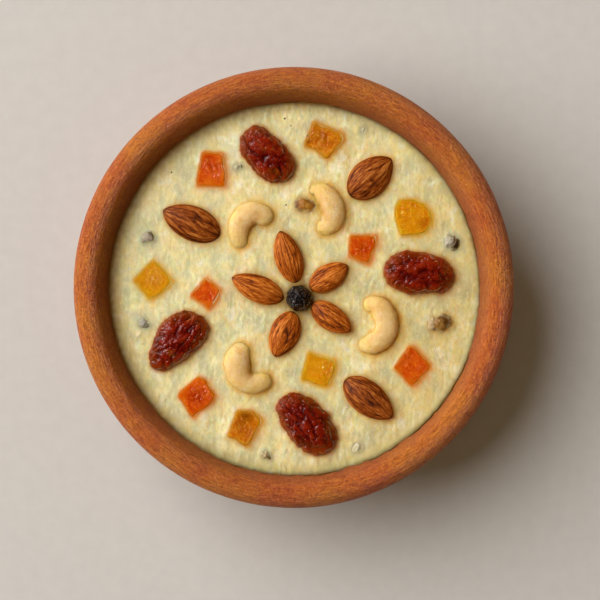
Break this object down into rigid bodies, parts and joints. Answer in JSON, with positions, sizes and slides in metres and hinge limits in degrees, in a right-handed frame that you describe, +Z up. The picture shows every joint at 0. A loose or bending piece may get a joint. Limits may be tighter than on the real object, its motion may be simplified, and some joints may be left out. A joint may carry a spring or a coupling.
{
  "type": "bowl of rice pudding",
  "caption": "Rice pudding in a round terracotta bowl with a rolled rim, laid with almonds, cashews, raisins, candied fruit and seeds.",
  "frame": {"origin": "middle of the bowl's flat foot, on the surface that it stands on", "axes": "+Z up out of the bowl, +X to the right and +Y to the far side of the bowl as it is seen from straight above"},
  "size_m": [0.16, 0.16, 0.0459],
  "materials": {
    "terracotta": "unglazed, fine grain",
    "cream": "moist, soft sheen",
    "almond_skin": "ridged, satin",
    "cashew_flesh": "smooth, satin",
    "raisin_skin": "wrinkled, glossy",
    "currant_skin": "wrinkled, satin",
    "orange_peel": "moist, translucent",
    "yellow_peel": "moist, translucent",
    "amber_peel": "moist, translucent"
  },
  "bodies": {
    "root": {"bowl": "terracotta", "pudding": "cream", "almond_west": "almond_skin", "almond_north": "almond_skin", "almond_south": "almond_skin", "petal_one": "almond_skin", "petal_two": "almond_skin", "petal_three": "almond_skin", "petal_four": "almond_skin", "petal_five": "almond_skin", "cashew_north_west": "cashew_flesh", "cashew_north_east": "cashew_flesh", "cashew_east": "cashew_flesh", "cashew_south_west": "cashew_flesh", "raisin_north": "raisin_skin", "raisin_east": "raisin_skin", "raisin_west": "raisin_skin", "raisin_south": "raisin_skin", "currant": "currant_skin", "orange_north_west": "orange_peel", "orange_middle": "orange_peel", "orange_west": "orange_peel", "orange_south_west": "orange_peel", "orange_east": "orange_peel", "yellow_west": "yellow_peel", "yellow_north_east": "yellow_peel", "yellow_south": "yellow_peel", "amber_north": "amber_peel", "amber_south": "amber_peel"}
  },
  "joints": []
}
